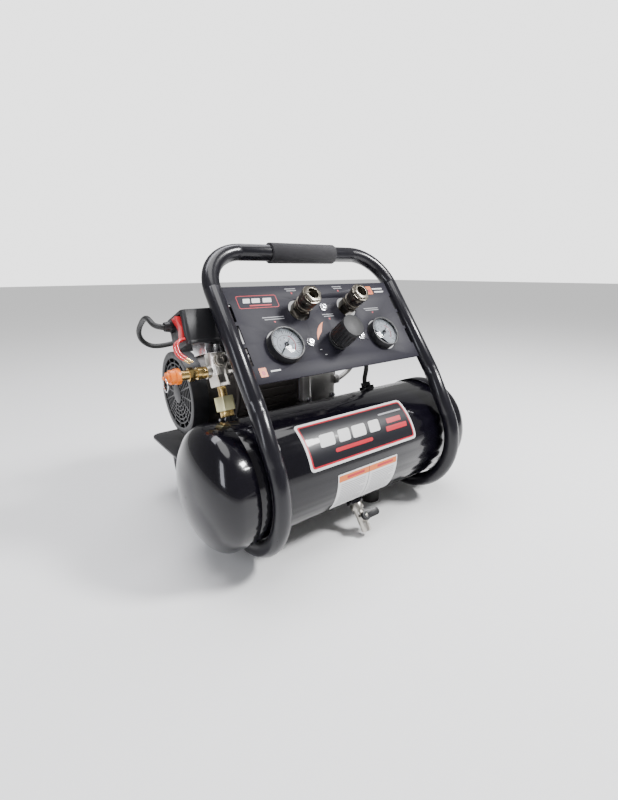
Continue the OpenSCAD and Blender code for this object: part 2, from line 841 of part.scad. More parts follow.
// The cable from the switch to the motor stands out in one loop.
cable_route = [riser_point(box_left - 2.4, gland_b, gland_s), riser_point(box_left - 6.5, gland_b, gland_s),
    riser_point(box_left - 11.5, gland_b, gland_s), [-199, 87, 272], [-200, 108, 278], [-199, 134, 270],
    [-197, 156, 256], [-190, 167, 243], [-176, 169, 235], [-152, 168, 236], [-122, shaft_y + 0.5, 244],
    motor_gland_at + [1, 0, 20], motor_gland_at + [0, 0, 11], motor_gland_at + [0, 0, 2.4]];

module motor_cable() {
    color("#151515") place() swept_tube(cable_route, cable_r, 6, 12, [0, 1, 0]);
}

// The nickel-plated block on the riser, with four ports.
module manifold_block() {
    color("#b4b1aa") on_riser() difference() {
        union() {
            translate([0, 0, block_low_s]) hex(22, block_mid_s - block_low_s);
            translate([0, 0, block_mid_s - eps]) cylinder(r = block_half, h = block_top_s - block_mid_s);
            translate([0, 0, branch_s]) x_rod(8, -block_half - 3, block_half + 3);
            translate([0, 0, plug_s]) rotate([90, 0, 0]) cylinder(r = 8, h = block_half + 2);
        }
        translate([0, 0, block_low_s - 1]) cylinder(r = 5 + seat_gap, h = 9);
        translate([0, 0, branch_s]) x_rod(5 + seat_gap, -block_half - 4, -block_half + 4);
        translate([0, 0, branch_s]) x_rod(3.6 + seat_gap, block_half - 4, block_half + 4);
        translate([0, 0, plug_s]) rotate([90, 0, 0]) translate([0, 0, block_half - 4]) cylinder(r = 5 + seat_gap, h = 8);
    }
}

// The large hexagon that the pressure switch stands on.
module switch_nut() {
    color("#cfcfd2") on_riser() translate([-7, 0, block_top_s + seat_gap]) hex(30, box_s - block_top_s - 2 * seat_gap);
}

module port_plug() {
    color("#c2bfb8") on_riser() translate([0, -block_half - 2 - seat_gap, plug_s]) rotate([90, 0, 0]) {
        difference() {
            union() {
                cylinder(r = 6.4, h = 2);
                translate([0, 0, -4]) cylinder(r = 5, h = 5);
            }
            translate([0, 0, 0.4]) hex(5, 4);
        }
    }
}

// The riser between the tank and the block.
module riser_nipple() {
    color("#c9a45c") on_riser() difference() {
        union() {
            translate([0, 0, -3]) cylinder(r = thread_r, h = stub_s + 3);
            cylinder(r = 5, h = block_low_s + 7);
            translate([0, 0, 4 + seat_gap]) cylinder(r = 8, h = stub_s - 4 - seat_gap);
        }
        translate([0, 0, -4]) cylinder(r = 2.6, h = block_low_s + 14);
    }
}

module union_nut() {
    color("#e3dfae") on_riser() translate([0, 0, stub_s + seat_gap]) difference() {
        hex(21, union_s - stub_s);
        translate([0, 0, -1]) cylinder(r = 5 + seat_gap, h = union_s);
    }
}

// The safety valve: a nickel neck and brass hexagon, with a sprung orange cap and its ring.
module on_valve() {
    on_riser() translate([0, 0, branch_s]) rotate([0, -90, 0]) children();
}

module safety_valve_body() {
    color("#c8b27a") on_valve() difference() {
        union() {
            translate([0, 0, block_half - 4 + seat_gap]) cylinder(r = 5, h = valve_hex_x - block_half);
            translate([0, 0, block_half + 3 + seat_gap]) cylinder(r = 7, h = 11);
            translate([0, 0, valve_thread_x]) hex(14, 6);
            translate([0, 0, valve_thread_x + 6 - eps]) cylinder(r = 5.5, h = valve_hex_x - valve_thread_x - 6);
        }
        translate([0, 0, valve_thread_x]) cylinder(r = stem_r + run_gap, h = 20);
    }
}

stem_r = 2;

module safety_valve_cap() {
    color("#e8821e") on_valve() difference() {
        union() {
            translate([0, 0, valve_hex_x + air_gap]) cylinder(r = 8, h = valve_cap_x - valve_hex_x - 8);
            translate([0, 0, valve_hex_x + air_gap]) cylinder(r = 9, h = 5);
            translate([0, 0, valve_cap_x - 9]) cylinder(r = 6, h = 5);
            translate([0, 0, valve_thread_x + 4]) cylinder(r = stem_r, h = valve_cap_x - valve_thread_x - 4);
        }
        translate([0, 0, valve_cap_x - 1.9]) rotate([90, 0, 0]) cylinder(r = wire_r + 0.4, h = 10, center = true);
    }
}

wire_r = 0.7;
ring_r = 7.5;

// The ring hangs through its hole, straight down when the valve is shut.
module pull_ring() {
    color("#c8c8c8") on_valve() translate([-ring_r, 0, valve_cap_x - 1.9]) {
        rotate_extrude() translate([ring_r, 0]) circle(r = wire_r);
    }
}

// The drain valve: socket, body and outlet, with a quarter-turn lever.
lever_s = 23;
outlet_r = 3;

module drain_body() {
    color("#8f8e8a") on_drain() difference() {
        union() {
            translate([0, 0, -3]) cylinder(r = thread_r, h = 10);
            translate([0, 0, 4 + seat_gap]) cylinder(r = 8.5, h = 8);
            translate([0, 0, 11]) cylinder(r = 6.5, h = drain_len - 12);
            translate([0, 0, lever_s]) rotate([-90, 0, 0]) cylinder(r = 6, h = 8);
            translate([0, 0, lever_s]) rotate([-90, 0, 0]) cylinder(r = stem_r, h = 13);
            translate([0, 0, drain_len - 11]) hex(12, 4);
            translate([0, 0, drain_len - 8]) cylinder(r = 5.5, h = 8);
        }
        translate([0, 0, drain_len - 14]) cylinder(r = outlet_r, h = 15);
    }
}

module drain_handle() {
    color("#1b1b1d") on_drain() translate([0, 8 + air_gap, lever_s]) rotate([-90, 0, 0]) difference() {
        union() {
            cylinder(r = 6, h = 4);
            translate([0, -5, 0]) cube([lever_len - 5, 10, 4]);
            translate([lever_len - 5, 0, 0]) cylinder(r = 5, h = 4);
        }
        translate([0, 0, -1]) cylinder(r = stem_r + run_gap, h = 6);
    }
}

// The motor: shell, stator, and a shaft that carries the rotor.
module motor_shell() {
    fins = 24;
    color("#38332f") on_shaft() difference() {
        x_rod(motor_d / 2, -motor_half + seat_gap, motor_half - seat_gap);
        x_rod(motor_d / 2 - 6, -motor_half - 1, motor_half + 1);
        for (i = [0:fins - 1]) {
            rotate([i * 360 / fins, 0, 0]) translate([-motor_half + 10, -1.5, motor_d / 2 - 2]) {
                cube([2 * motor_half - 20, 3, 4]);
            }
        }
    }
}

rotor_r = 28;

module stator_core() {
    color("#9a5a32") on_shaft() x_ring(motor_d / 2 - 6 - seat_gap, rotor_r + air_gap, -36, 36);
}

module rotor_shaft() {
    color("#a8a8ac") on_shaft() {
        x_rod(shaft_r, -cover_half + 8, cover_half - 8);
        x_rod(rotor_r, -35, 35);
    }
}

module shaft_bearings() {
    color("#d5d5d8") on_shaft() both_sides() {
        x_ring(bearing_r, shaft_r + run_gap, motor_half + 1, motor_half + 1 + bearing_w);
    }
}

// Each crankcase: a drum with a bearing seat, a foot and an opening for its cylinder.
module crankcases() {
    color("#6d6d70") difference() {
        on_shaft() for (side = [-1, 1]) {
            translate([side * case_spacing / 2, 0, 0]) rotate([0, 0, side > 0 ? 0 : 180]) crankcase();
        }
        place() translate(motor_gland_at) translate([0, 0, -8]) cylinder(r = gland_r + seat_gap, h = 12);
    }
}

module crankcase() {
    difference() {
        union() {
            x_rod(case_r, -case_half, case_half);
            x_rod(motor_d / 2, -case_half, -case_half + 4);
            translate([-9, -mount_y - 12, -motor_d / 2 - case_foot_t]) cube([18, 2 * mount_y + 24, case_foot_t]);
            translate([-9, -24, -motor_d / 2 - eps]) cube([18, 48, 16]);
        }
        x_rod(case_r - case_wall, -case_half + 12, case_half + 1);
        x_rod(bearing_r + seat_gap, -case_half - 1, -case_half + 13);
        rotate([90, 0, 0]) translate([0, 0, 30]) cylinder(r = liner_r + seat_gap, h = case_r);
    }
}

// A fan cover: a cup with a grille of rings and ribs round a hub.
cover_ribs = 16;
cover_rings = [19, 25, 31, 37, 43];

module fan_cover() {
    translate([cover_half - cover_depth, 0, 0]) {
        x_ring(cover_d / 2, cover_d / 2 - cover_wall, 0, cover_depth);
        x_ring(cover_d / 2 - 0.5, case_r + seat_gap, 0, 3);
    }
    translate([cover_half - 3, 0, 0]) {
        x_rod(14, 0, 3);
        x_ring(cover_d / 2 - eps, cover_d / 2 - 9, 0, 3);
        for (r = cover_rings) {
            x_ring(r + 1, r - 1, 0.5, 2.5);
        }
        for (i = [0:cover_ribs - 1]) {
            rotate([i * 360 / cover_ribs, 0, 0]) translate([0, -0.9, 12]) cube([2.6, 1.8, cover_d / 2 - 16]);
        }
    }
}

module fan_covers() {
    color("#1d1d20") on_shaft() both_sides() fan_cover();
}

module cooling_fans() {
    blades = 7;
    fan_x = cover_half - 16;
    color("#303034") on_shaft() both_sides() difference() {
        union() {
            x_rod(12, fan_x, fan_x + 9);
            for (i = [0:blades - 1]) {
                rotate([i * 360 / blades, 0, 0]) translate([fan_x + 4.5, 0, 9.5]) {
                    rotate([0, 0, 25]) translate([-1, -4, 0]) cube([2, 8, 38]);
                }
            }
        }
        x_rod(shaft_r + seat_gap, fan_x - 1, fan_x + 10);
    }
}

// The eccentrics that drive the two rods, half a turn apart.
module eccentrics() {
    color("#77777c") on_shaft() for (side = [-1, 1]) {
        translate([side * case_spacing / 2, 0, 0]) difference() {
            translate([0, 0, side * throw_r]) x_rod(eccentric_r, -5, 5);
            x_rod(shaft_r + seat_gap, -6, 6);
        }
    }
}

// A piston and its rod. The rod stops short of the eccentric's path.
module piston(side) {
    rod_start = eccentric_r + 2 * throw_r + 1;
    color("#c9c9cc") on_cylinder(side) {
        translate([0, 0, crown_mid - crown_t / 2]) cylinder(r = bore_r - run_gap, h = crown_t);
        translate([-4, -7, rod_start]) cube([8, 14, crown_mid - rod_start]);
    }
}

module piston_left() {
    piston(-1);
}

module piston_right() {
    piston(1);
}

module cylinders() {
    color("#b0b0b4") for (side = [-1, 1]) {
        on_cylinder(side) translate([0, 0, liner_low]) ring(liner_r, bore_r, liner_top - liner_low - seat_gap);
    }
}

// Four bolts go through each head, its valve plate and the crankcase's collar.
module head_pattern() {
    for (x = [-1, 1], y = [-1, 1]) {
        translate([x * bolt_place, y * bolt_place, 0]) children();
    }
}

bolt_r = 2.5;

module valve_plates() {
    color("#9c9ca0") for (side = [-1, 1]) {
        on_cylinder(side) translate([0, 0, liner_top]) difference() {
            linear_extrude(height = plate_t - seat_gap) round_rect(head_w, head_w, 8);
            for (x = [-9, 9]) {
                translate([x, 0, -1]) cylinder(r = 3, h = plate_t + 2);
            }
            head_pattern() translate([0, 0, -1]) cylinder(r = bolt_r + seat_gap, h = plate_t + 2);
        }
    }
}

module cylinder_heads() {
    color("#b7b5b1") for (side = [-1, 1]) {
        on_cylinder(side) translate([0, 0, liner_top + plate_t]) difference() {
            union() {
                linear_extrude(height = head_t - 4) round_rect(head_w, head_w, 9);
                translate([0, 0, head_t - 4 - eps]) linear_extrude(height = 4) round_rect(head_w - 22, head_w - 6, 8);
            }
            head_pattern() translate([0, 0, -1]) cylinder(r = bolt_r + seat_gap, h = head_t + 2);
            head_pattern() translate([0, 0, head_t - 4]) cylinder(r = 6, h = 6);
            translate([0, -side * (head_w / 2 - 6), 5.5]) rotate([side * 90, 0, 0]) cylinder(r = 4 + seat_gap, h = 8);
        }
    }
}

module head_bolts() {
    color("#d2d2d4") for (side = [-1, 1]) {
        on_cylinder(side) translate([0, 0, liner_top + plate_t + head_t]) head_pattern() {
            translate([0, 0, -4 + seat_gap]) hex(9, 5);
            translate([0, 0, -head_t - plate_t + 0.5]) cylinder(r = bolt_r, h = head_t + plate_t - 3);
        }
    }
}

// An intake silencer hangs under each head.
module intake_filters() {
    color("#26262a") for (side = [-1, 1]) {
        on_cylinder(side) translate([0, -side * (head_w / 2), liner_top + plate_t + 5.5]) rotate([side * 90, 0, 0]) {
            translate([0, 0, -5]) cylinder(r = 4, h = 6);
            translate([0, 0, seat_gap]) cylinder(r = 4.9, h = 4);
            translate([0, 0, 4]) cylinder(r = 7, h = 14);
        }
    }
}

frame_tube();
handle_grip();
tank_shell();
tank_cap_left();
tank_cap_right();
tank_bungs();
tank_foot();
platform();
rear_feet();
motor_mounts();
control_panel();
panel_screws();
gauge_left_case();
gauge_left_dial();
gauge_left_needle();
gauge_left_lens();
gauge_right_case();
gauge_right_dial();
gauge_right_needle();
gauge_right_lens();
regulator_body();
regulator_knob();
regulator_nut();
outlet_manifold();
coupler_left_body();
coupler_left_sleeve();
coupler_right_body();
coupler_right_sleeve();
supply_hose();
switch_base();
switch_cover();
power_rocker();
cable_glands();
motor_cable();
manifold_block();
switch_nut();
port_plug();
safety_valve_body();
safety_valve_cap();
pull_ring();
riser_nipple();
union_nut();
discharge_line();
drain_body();
drain_handle();
motor_shell();
stator_core();
rotor_shaft();
shaft_bearings();
crankcases();
fan_covers();
cooling_fans();
eccentrics();
piston_left();
piston_right();
cylinders();
valve_plates();
cylinder_heads();
head_bolts();
intake_filters();
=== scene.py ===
import json
import math

import bpy
from mathutils import Matrix, Vector


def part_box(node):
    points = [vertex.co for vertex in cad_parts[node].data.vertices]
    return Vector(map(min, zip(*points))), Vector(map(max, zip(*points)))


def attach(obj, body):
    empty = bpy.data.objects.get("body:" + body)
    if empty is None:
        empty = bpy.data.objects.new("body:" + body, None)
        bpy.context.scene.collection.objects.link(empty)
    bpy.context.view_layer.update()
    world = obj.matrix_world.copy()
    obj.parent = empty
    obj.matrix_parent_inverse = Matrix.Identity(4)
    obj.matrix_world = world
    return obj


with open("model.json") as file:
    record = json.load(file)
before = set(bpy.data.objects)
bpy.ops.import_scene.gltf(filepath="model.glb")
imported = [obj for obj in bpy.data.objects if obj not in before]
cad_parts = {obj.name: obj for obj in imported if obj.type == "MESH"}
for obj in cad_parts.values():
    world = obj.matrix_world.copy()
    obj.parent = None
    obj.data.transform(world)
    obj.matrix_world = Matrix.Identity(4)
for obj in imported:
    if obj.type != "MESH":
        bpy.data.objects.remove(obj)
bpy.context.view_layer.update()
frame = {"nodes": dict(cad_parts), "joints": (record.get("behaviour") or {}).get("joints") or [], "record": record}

# Lengths are in metres, and MM turns the object's own millimetres into them.
MM = 0.001
ROOT = "compressor"
JOINTS = {j["name"]: j for j in frame["joints"]}
NODES = frame["nodes"]

X = Vector((1, 0, 0))
PANEL_N = Vector(JOINTS["regulator_turn"]["axis"])
PANEL_V = PANEL_N.cross(X)
KNOB_LIFT = 19 * MM  # the regulator joint's height above the panel's face
KNOB_FACE = Vector(JOINTS["regulator_turn"]["pos_m"]) - PANEL_N * KNOB_LIFT

TANK_LOW, TANK_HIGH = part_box("tank_shell")
TANK_Y = (TANK_LOW.y + TANK_HIGH.y) / 2
TANK_Z = (TANK_LOW.z + TANK_HIGH.z) / 2
TANK_R = (TANK_HIGH.z - TANK_LOW.z) / 2


# ---------------------------------------------------------------- camera and light

def camera():
    """The photograph's view: a level camera to the left of the gauge panel, looking slightly down."""
    lens, film = 19.365, 36
    place = Vector((-0.3556, TANK_Y - 0.40966, TANK_Z + 0.2328))
    yaw, pitch, roll = math.radians(-37.13), math.radians(90 - 16.72), math.radians(-0.27)
    data = bpy.data.cameras.new("camera")
    data.sensor_fit = "VERTICAL"
    data.sensor_height = film
    data.lens = lens
    data.clip_start = 0.01
    obj = bpy.data.objects.new("camera", data)
    obj.matrix_world = (
        Matrix.Translation(place)
        @ Matrix.Rotation(yaw, 4, "Z")
        @ Matrix.Rotation(pitch, 4, "X")
        @ Matrix.Rotation(roll, 4, "Z")
    )
    bpy.context.scene.collection.objects.link(obj)
    bpy.context.scene.camera = obj


def area_light(name, place, target, size, power, tint=(1, 1, 1)):
    data = bpy.data.lights.new(name, "AREA")
    data.shape = "RECTANGLE"
    data.size, data.size_y = size
    data.energy = power
    data.color = tint
    obj = bpy.data.objects.new(name, data)
    obj.location = place
    obj.rotation_euler = (Vector(target) - Vector(place)).to_track_quat("-Z", "Y").to_euler()
    bpy.context.scene.collection.objects.link(obj)


def studio():
    """A pale floor under a hard key, a long box overhead, a dim one on the left and an even sun."""
    world = bpy.data.worlds.new("studio")
    bpy.context.scene.world = world
    world.use_nodes = True
    tree = world.node_tree
    tree.nodes["Background"].inputs["Color"].default_value = (1, 1, 1, 1)
    rays = tree.nodes.new("ShaderNodeLightPath")
    level = tree.nodes.new("ShaderNodeMapRange")
    level.inputs["To Min"].default_value = 0.32
    level.inputs["To Max"].default_value = 2.6
    tree.links.new(rays.outputs["Is Camera Ray"], level.inputs["Value"])
    tree.links.new(level.outputs["Result"], tree.nodes["Background"].inputs["Strength"])
    middle = (0, 0, 0.15)
    area_light("key", (0.75, -0.85, 1.25), middle, (0.28, 0.28), 38)
    area_light("overhead", (0, 0.5, 1.5), middle, (1.6, 0.35), 16, (0.93, 0.93, 1))
    area_light("left", (-1.3, -0.4, 0.7), middle, (0.25, 0.9), 7, (0.9, 0.92, 1))
    sky = bpy.data.lights.new("even", "SUN")
    sky.energy = 1.8
    sky.angle = math.radians(40)
    over = bpy.data.objects.new("even", sky)
    bpy.context.scene.collection.objects.link(over)
    size = 12
    corners = [(-size, -size, 0), (size, -size, 0), (size, size, 0), (-size, size, 0)]
    floor = mesh_piece("floor", corners, [(0, 1, 2, 3)], MATERIALS["floor"], body=None)


# ---------------------------------------------------------------- materials

def surface(name, color, rough, metal=0.0, coat=0.0, grain=900, bump=0.03, mottle=0.12, spots=60,
            coat_rough=0.05, stretch=(1, 1, 1), sheen=0.0, shine=0.5):
    """A finish with fine grain in its relief and slow changes of tone and gloss. bump is in millimetres."""
    m = bpy.data.materials.new(name)
    m.use_nodes = True
    nodes, links = m.node_tree.nodes, m.node_tree.links
    shader = nodes["Principled BSDF"]
    shader.inputs["Metallic"].default_value = metal
    shader.inputs["Coat Weight"].default_value = coat
    shader.inputs["Coat Roughness"].default_value = coat_rough
    shader.inputs["Sheen Weight"].default_value = sheen
    shader.inputs["Specular IOR Level"].default_value = shine
    where = nodes.new("ShaderNodeTexCoord")
    scale = nodes.new("ShaderNodeMapping")
    scale.inputs["Scale"].default_value = stretch
    links.new(where.outputs["Object"], scale.inputs["Vector"])
    fine = nodes.new("ShaderNodeTexNoise")
    fine.inputs["Scale"].default_value = grain
    fine.inputs["Detail"].default_value = 3
    links.new(scale.outputs["Vector"], fine.inputs["Vector"])
    slow = nodes.new("ShaderNodeTexNoise")
    slow.inputs["Scale"].default_value = spots
    slow.inputs["Detail"].default_value = 5
    links.new(scale.outputs["Vector"], slow.inputs["Vector"])
    tone = nodes.new("ShaderNodeMix")
    tone.data_type = "RGBA"
    tone.inputs[6].default_value = (*[c * (1 - mottle) for c in color], 1)
    tone.inputs[7].default_value = (*[min(1, c * (1 + mottle)) for c in color], 1)
    links.new(slow.outputs["Fac"], tone.inputs[0])
    links.new(tone.outputs[2], shader.inputs["Base Color"])
    gloss = nodes.new("ShaderNodeMapRange")
    gloss.inputs["To Min"].default_value = max(0.02, rough * 0.8)
    gloss.inputs["To Max"].default_value = min(1, rough * 1.2)
    links.new(fine.outputs["Fac"], gloss.inputs["Value"])
    links.new(gloss.outputs["Result"], shader.inputs["Roughness"])
    relief = nodes.new("ShaderNodeBump")
    relief.inputs["Strength"].default_value = 1
    relief.inputs["Distance"].default_value = bump * MM
    links.new(fine.outputs["Fac"], relief.inputs["Height"])
    links.new(relief.outputs["Normal"], shader.inputs["Normal"])
    return m


def clear(name):
    m = bpy.data.materials.new(name)
    m.use_nodes = True
    shader = m.node_tree.nodes["Principled BSDF"]
    shader.inputs["Base Color"].default_value = (0.97, 0.98, 1, 1)
    shader.inputs["Roughness"].default_value = 0.03
    shader.inputs["Transmission Weight"].default_value = 1
    shader.inputs["IOR"].default_value = 1.3
    return m


MATERIALS = {
    "floor": surface("floor", (0.9, 0.9, 0.9), 0.8, mottle=0.01, bump=0.01, shine=0.2),
    "frame_paint": surface("frame_paint", (0.006, 0.0055, 0.009), 0.3, coat=0.35, coat_rough=0.12,
                           grain=420, bump=0.003, shine=0.3),
    "tank_paint": surface("tank_paint", (0.003, 0.0025, 0.005), 0.16, coat=0.45, coat_rough=0.03,
                          grain=260, bump=0.0015, shine=0.25),
    "deck_paint": surface("deck_paint", (0.012, 0.012, 0.014), 0.4, coat=0.3, coat_rough=0.2, grain=500,
                          bump=0.03),
    "panel_paint": surface("panel_paint", (0.014, 0.013, 0.021), 0.55, grain=1500, bump=0.012,
                           mottle=0.08, shine=0.25),
    "motor_paint": surface("motor_paint", (0.06, 0.053, 0.048), 0.42, grain=700, bump=0.03),
    "foam": surface("foam", (0.012, 0.011, 0.014), 0.85, grain=2600, bump=0.25, mottle=0.3, sheen=0.15),
    "rubber": surface("rubber", (0.012, 0.012, 0.012), 0.7, grain=1400, bump=0.05),
    "black_plastic": surface("black_plastic", (0.012, 0.012, 0.014), 0.42, grain=1800, bump=0.04),
    "knob_plastic": surface("knob_plastic", (0.008, 0.008, 0.009), 0.55, grain=2200, bump=0.03),
    "red_plastic": surface("red_plastic", (0.6, 0.012, 0.02), 0.3, coat=0.4, grain=900, bump=0.005),
    "orange_plastic": surface("orange_plastic", (0.9, 0.2, 0.01), 0.36, grain=1200, bump=0.01),
    "dial": surface("dial", (0.78, 0.82, 0.86), 0.45, grain=2000, bump=0.005, mottle=0.02),
    "needle": surface("needle", (0.02, 0.02, 0.025), 0.4, grain=2000, bump=0.005),
    "zinc": surface("zinc", (0.78, 0.78, 0.8), 0.2, metal=1, grain=1500, bump=0.012, mottle=0.1),
    "nickel": surface("nickel", (0.62, 0.59, 0.54), 0.3, metal=1, grain=1100, bump=0.03, mottle=0.18),
    "yellow_zinc": surface("yellow_zinc", (0.72, 0.68, 0.4), 0.32, metal=0.85, grain=900, bump=0.02,
                           mottle=0.2),
    "brass": surface("brass", (0.66, 0.47, 0.19), 0.28, metal=1, grain=1000, bump=0.025, mottle=0.18),
    "dark_steel": surface("dark_steel", (0.17, 0.155, 0.13), 0.3, metal=1, grain=900, bump=0.03,
                          stretch=(1, 1, 1)),
    "steel": surface("steel", (0.55, 0.55, 0.57), 0.3, metal=1, grain=500, bump=0.02, stretch=(0.1, 1, 1)),
    "cast": surface("cast", (0.5, 0.49, 0.47), 0.42, metal=0.9, grain=1300, bump=0.03, mottle=0.15),
    "copper": surface("copper", (0.45, 0.17, 0.06), 0.4, metal=0.7, grain=900, bump=0.2, stretch=(0.1, 1, 1)),
    "hose": surface("hose", (0.014, 0.014, 0.014), 0.5, grain=1200, bump=0.04),
    "braid": surface("braid", (0.36, 0.35, 0.34), 0.42, metal=0.8, grain=1600, bump=0.15, mottle=0.3),
    "white_ink": surface("white_ink", (0.7, 0.7, 0.7), 0.5, grain=1500, bump=0.002, mottle=0.03, shine=0.3),
    "red_ink": surface("red_ink", (0.5, 0.005, 0.02), 0.4, grain=1500, bump=0.002, mottle=0.05),
    "orange_ink": surface("orange_ink", (0.7, 0.16, 0.02), 0.4, grain=1500, bump=0.002, mottle=0.05),
    "grey_ink": surface("grey_ink", (0.3, 0.3, 0.32), 0.5, grain=1500, bump=0.004, mottle=0.05),
    "black_ink": surface("black_ink", (0.008, 0.008, 0.012), 0.35, coat=0.3, grain=1500, bump=0.002,
                         mottle=0.05, shine=0.3),
    "lens": clear("lens"),
}
SPECIAL = {"regulator_knob": "knob_plastic"}


def dress_frame():
    """Every CAD node gets its slot's finish, smooth curves and slightly broken edges."""
    slots = {s["node"]: s["material_slot"] for s in frame["record"]["subparts"]}
    for name, obj in NODES.items():
        obj.data.materials.clear()
        obj.data.materials.append(MATERIALS[SPECIAL.get(name, slots[name])])
        obj.data.shade_smooth()
        weld = obj.modifiers.new("weld", "WELD")
        weld.merge_threshold = 0.002 * MM
        edges = obj.modifiers.new("edges", "BEVEL")
        edges.width = 0.35 * MM
        edges.segments = 2
        edges.limit_method = "ANGLE"
        edges.angle_limit = math.radians(40)
        edges.harden_normals = True


# ---------------------------------------------------------------- making pieces

def mesh_piece(name, verts, faces, material, body=ROOT):
    data = bpy.data.meshes.new(name)
    data.from_pydata([tuple(v) for v in verts], [], faces)
    data.update()
    data.materials.append(material)
    data.shade_smooth()
    data.set_sharp_from_angle(angle=math.radians(38))
    obj = bpy.data.objects.new(name, data)
    bpy.context.scene.collection.objects.link(obj)
    if body:
        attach(obj, body)
    return obj


def smooth_route(points, per_span=16):
    """Points along a smooth curve through the given ones."""
    out = []
    for i in range(len(points) - 1):
        a, b = points[max(i - 1, 0)], points[i]
        c, d = points[i + 1], points[min(i + 2, len(points) - 1)]
        for k in range(per_span):
            t = k / per_span
            out.append(0.5 * (2 * b + (c - a) * t + (2 * a - 5 * b + 4 * c - d) * t * t
                              + (3 * b - a - 3 * c + d) * t ** 3))
    return out + [points[-1]]


def sweep(name, route, radius, material, sides=20):
    """A round tube along route. radius is in millimetres."""
    verts, faces = [], []
    across = Vector((0, 1, 0))
    for i, p in enumerate(route):
        ahead = route[min(i + 1, len(route) - 1)] - route[max(i - 1, 0)]
        ahead.normalize()
        across = (across - across.dot(ahead) * ahead).normalized()
        other = ahead.cross(across)
        r = radius * MM
        for k in range(sides):
            a = 2 * math.pi * k / sides
            verts.append(p + across * r * math.cos(a) + other * r * math.sin(a))
    for i in range(len(route) - 1):
        for k in range(sides):
            j = (k + 1) % sides
            faces.append((i * sides + k, i * sides + j, (i + 1) * sides + j, (i + 1) * sides + k))
    faces.append(tuple(reversed(range(sides))))
    faces.append(tuple((len(route) - 1) * sides + k for k in range(sides)))
    return mesh_piece(name, verts, faces, material)


def panel_at(u, v, lift=0.0):
    """A point on the panel: u to the right and v up the slope from the regulator's axis, in millimetres."""
    return KNOB_FACE + X * u * MM + PANEL_V * v * MM + PANEL_N * lift * MM


def tank_at(x, arc, lift=0.0):
    """A point on the tank: arc is degrees above the horizontal on its front side."""
    a = math.radians(arc)
    r = TANK_R + lift * MM
    return Vector((x * MM, TANK_Y - r * math.cos(a), TANK_Z + r * math.sin(a)))


def tank_decal(centre_x, centre_arc):
    """Maps flat label coordinates in millimetres onto the tank, round a centre."""
    def place(x, y, lift):
        return tank_at(centre_x + x, centre_arc + math.degrees(y * MM / TANK_R), lift)
    return place


def rounded(name, place, x, y, w, h, r, lift, material, slant=0.0):
    """A thin printed rectangle with rounded corners, laid on a surface by place."""
    rows, columns = max(2, int(h / 1.5)), max(2, int(w / 8))
    heights = sorted({-h / 2 + h * i / rows for i in range(rows + 1)}
                     | {s * (h / 2 - r * (1 - math.cos(math.pi * k / 12)))
                        for k in range(7) for s in (-1, 1)})
    verts, faces = [], []
    for q in heights:
        over = max(0, abs(q) - (h / 2 - r))
        half = w / 2 - (r - math.sqrt(max(0, r * r - over * over)))
        for k in range(columns + 1):
            verts.append(place(x + slant * q - half + 2 * half * k / columns, y + q, lift))
    for i in range(len(heights) - 1):
        for k in range(columns):
            a = i * (columns + 1) + k
            faces.append((a, a + 1, a + columns + 2, a + columns + 1))
    return mesh_piece(name, verts, faces, material)


def ring_band(name, place, x, y, inner, outer, start, end, lift, material, taper=0.0):
    """A printed arc, in degrees anticlockwise from the right. taper thins it towards both ends."""
    steps = max(8, int(abs(end - start) / 4))
    verts, faces = [], []
    for i in range(steps + 1):
        t = i / steps
        a = math.radians(start + (end - start) * t)
        thin = 1 - taper * abs(2 * t - 1) ** 1.5
        for r in (outer - (outer - inner) * thin, outer):
            verts.append(place(x + r * math.cos(a), y + r * math.sin(a), lift))
    for i in range(steps):
        faces.append((2 * i, 2 * i + 1, 2 * i + 3, 2 * i + 2))
    return mesh_piece(name, verts, faces, material)


def on_axis(point, axis, turn=0.0):
    """A matrix whose Z is axis and whose X is as near the tank's as it can be."""
    z = Vector(axis).normalized()
    x = (X - X.dot(z) * z).normalized() if abs(X.dot(z)) < 0.95 else Vector((0, 0, 1))
    y = z.cross(x).normalized()
    x = y.cross(z)
    m = Matrix((x, y, z)).transposed().to_4x4()
    return Matrix.Translation(point) @ m @ Matrix.Rotation(turn, 4, "Z")


# ---------------------------------------------------------------- the gauges

